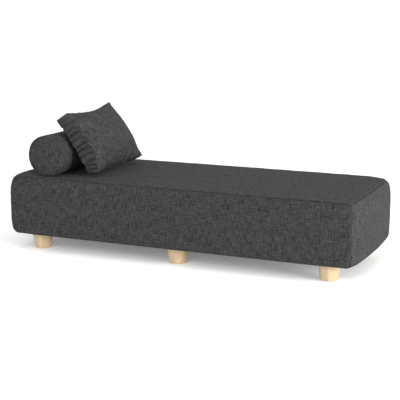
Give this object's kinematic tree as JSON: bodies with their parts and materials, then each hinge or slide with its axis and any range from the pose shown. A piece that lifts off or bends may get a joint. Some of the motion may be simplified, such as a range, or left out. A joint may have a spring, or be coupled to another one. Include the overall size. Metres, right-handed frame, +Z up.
{
  "type": "upholstered daybed",
  "caption": "Low upholstered daybed on turned wooden legs, with a loose bolster at the head end and a box pillow leaning on it.",
  "frame": {"origin": "on the floor, under the middle of the block", "axes": "+X from the head end, where the bolster lies, to the foot end; -Y out of the front; +Z up"},
  "size_m": [2, 0.8, 0.8056],
  "materials": {
    "cover_cloth": "woven, matt",
    "cushion_cloth": "woven, matt",
    "leg_wood": "clear satin varnish on pale wood",
    "frame_timber": "sawn softwood",
    "foam": "open-cell foam",
    "foam_firm": "open-cell foam",
    "wadding": "bonded polyester wadding",
    "felt": "needled felt",
    "spring_steel": "oiled wire",
    "zinc_steel": "zinc plated",
    "dust_cloth": "spunbonded cloth",
    "glide_felt": "pressed felt",
    "zip_tape": "woven tape",
    "zip_chain": "moulded coil",
    "zip_metal": "dark nickel"
  },
  "bodies": {
    "daybed_base": {"frame_front_rail": "frame_timber", "frame_back_rail": "frame_timber", "frame_head_rail": "frame_timber", "frame_foot_rail": "frame_timber", "cross_rail_head": "frame_timber", "cross_rail_centre": "frame_timber", "cross_rail_foot": "frame_timber", "leg_block_front_head": "frame_timber", "leg_block_front_centre": "frame_timber", "leg_block_front_foot": "frame_timber", "leg_block_back_head": "frame_timber", "leg_block_back_centre": "frame_timber", "leg_block_back_foot": "frame_timber", "frame_screws": "zinc_steel", "zigzag_springs": "spring_steel", "spring_clips": "zinc_steel", "spring_felt": "felt", "foam_core": "foam_firm", "foam_topper": "foam", "foam_front": "foam", "foam_back": "foam", "foam_head": "foam", "foam_foot": "foam", "wadding": "wadding", "cover_top": "cover_cloth", "cover_front": "cover_cloth", "cover_back": "cover_cloth", "cover_head": "cover_cloth", "cover_foot": "cover_cloth", "dust_cover": "dust_cloth", "dust_cover_staples": "zinc_steel", "leg_front_head": "leg_wood", "leg_front_centre": "leg_wood", "leg_front_foot": "leg_wood", "leg_back_head": "leg_wood", "leg_back_centre": "leg_wood", "leg_back_foot": "leg_wood", "hanger_bolts": "zinc_steel", "tee_nuts": "zinc_steel", "felt_glides": "glide_felt"},
    "bolster": {"bolster_core": "foam", "bolster_cover_tube": "cushion_cloth", "bolster_cover_front_end": "cushion_cloth", "bolster_cover_back_end": "cushion_cloth", "bolster_zip_tape": "zip_tape", "bolster_zip_chain": "zip_chain"},
    "bolster_slider": {"bolster_zip_slider": "zip_metal"},
    "bolster_puller": {"bolster_zip_puller": "zip_metal"},
    "pillow": {"pillow_insert": "wadding", "pillow_front_panel": "cushion_cloth", "pillow_back_panel": "cushion_cloth", "pillow_boxing_strip": "cushion_cloth", "pillow_zip_tape": "zip_tape", "pillow_zip_chain": "zip_chain"},
    "pillow_slider": {"pillow_zip_slider": "zip_metal"},
    "pillow_puller": {"pillow_zip_puller": "zip_metal"}
  },
  "joints": [
    {"name": "bolster_lift", "type": "slide", "parent": "daybed_base", "child": "bolster", "axis": [-0.7001, 0, 0.7141], "range_m": [0, 0.45]},
    {"name": "pillow_lift", "type": "slide", "parent": "daybed_base", "child": "pillow", "axis": [0.6, 0, 0.8], "range_m": [0, 0.45]},
    {"name": "bolster_zip_slide", "type": "slide", "parent": "bolster", "child": "bolster_slider", "axis": [0, -1, 0], "range_m": [0, 0.44]},
    {"name": "bolster_puller_swing", "type": "hinge", "parent": "bolster_slider", "child": "bolster_puller", "pos_m": [-0.90965, 0.227, 0.57392], "axis": [0.2588, 0, 0.9659], "range_deg": [0, 170]},
    {"name": "pillow_zip_slide", "type": "slide", "parent": "pillow", "child": "pillow_slider", "axis": [-0.5219, -0.0246, 0.8526], "range_m": [0, 0.28]},
    {"name": "pillow_puller_swing", "type": "hinge", "parent": "pillow_slider", "child": "pillow_puller", "pos_m": [-0.57173, 0.2929, 0.48459], "axis": [0.8517, 0.0402, 0.5225], "range_deg": [0, 170]}
  ]
}
